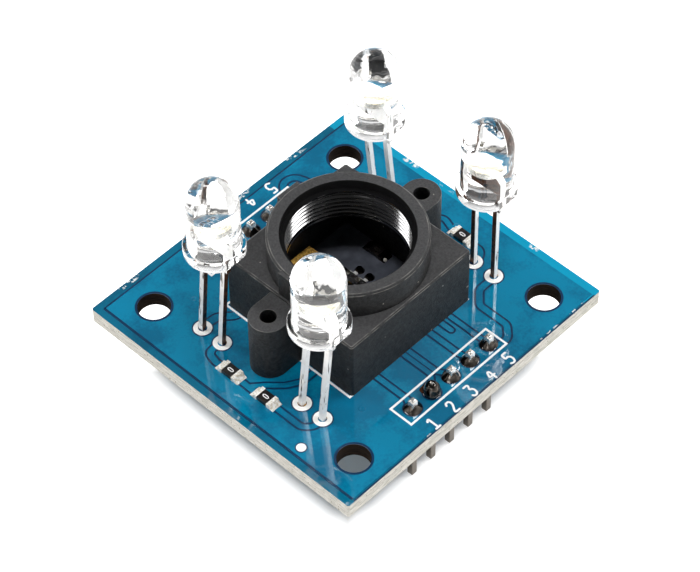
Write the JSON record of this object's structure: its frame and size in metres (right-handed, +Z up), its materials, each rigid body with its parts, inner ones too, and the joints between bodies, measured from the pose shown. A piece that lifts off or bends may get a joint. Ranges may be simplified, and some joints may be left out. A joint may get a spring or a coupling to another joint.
{
  "type": "color sensor module",
  "caption": "Square blue sensor board standing on two pin headers, with a threaded black lens holder over the sensor chip and clear lamps on long leads around it.",
  "frame": {"origin": "middle of the board's outline, at the level of the header pin tips that the module stands on", "axes": "+X along the header rows, +Y across them from header A to header B, +Z up through the lens thread"},
  "size_m": [0.0338, 0.0326, 0.0302],
  "materials": {
    "chip_ceramic": "dark coated ceramic",
    "circuit_board": "blue solder mask over laminate, glossy",
    "clear_epoxy": "water-clear epoxy",
    "clear_package": "clear moulding compound",
    "holder_plastic": "black moulded plastic, fine texture",
    "leadframe_gold": "gold plated paddle",
    "phosphor": "pale yellow phosphor",
    "pin_metal": "bright plated pin",
    "screw_steel": "plated screw",
    "silicon": "dark polished die",
    "solder": "bright solder",
    "strip_plastic": "black moulded strip",
    "tantalum_moulding": "yellow moulded body",
    "tinned_cap": "tinned end cap",
    "tinned_lead": "bright tinned lead"
  },
  "bodies": {
    "root": {"circuit_board": "circuit_board", "header_a_body": "strip_plastic", "header_a_pin_1": "pin_metal", "header_a_pin_2": "pin_metal", "header_a_pin_3": "pin_metal", "header_a_pin_4": "pin_metal", "header_a_pin_5": "pin_metal", "header_a_solder": "solder", "header_b_body": "strip_plastic", "header_b_pin_1": "pin_metal", "header_b_pin_2": "pin_metal", "header_b_pin_3": "pin_metal", "header_b_pin_4": "pin_metal", "header_b_pin_5": "pin_metal", "header_b_solder": "solder", "holder_screws": "screw_steel", "led_1_anode": "tinned_lead", "led_1_cathode": "tinned_lead", "led_1_lens": "clear_epoxy", "led_1_phosphor": "phosphor", "led_2_anode": "tinned_lead", "led_2_cathode": "tinned_lead", "led_2_lens": "clear_epoxy", "led_2_phosphor": "phosphor", "led_3_anode": "tinned_lead", "led_3_cathode": "tinned_lead", "led_3_lens": "clear_epoxy", "led_3_phosphor": "phosphor", "led_4_anode": "tinned_lead", "led_4_cathode": "tinned_lead", "led_4_lens": "clear_epoxy", "led_4_phosphor": "phosphor", "led_solder": "solder", "lens_holder": "holder_plastic", "resistor_1_body": "chip_ceramic", "resistor_1_ends": "tinned_cap", "resistor_1_solder": "solder", "resistor_2_body": "chip_ceramic", "resistor_2_ends": "tinned_cap", "resistor_2_solder": "solder", "resistor_3_body": "chip_ceramic", "resistor_3_ends": "tinned_cap", "resistor_3_solder": "solder", "resistor_4_body": "chip_ceramic", "resistor_4_ends": "tinned_cap", "resistor_4_solder": "solder", "sensor_die": "silicon", "sensor_leads": "tinned_lead", "sensor_package": "clear_package", "sensor_paddle": "leadframe_gold", "sensor_solder": "solder", "tantalum_body": "tantalum_moulding", "tantalum_solder": "solder", "tantalum_straps": "tinned_cap"}
  },
  "joints": []
}
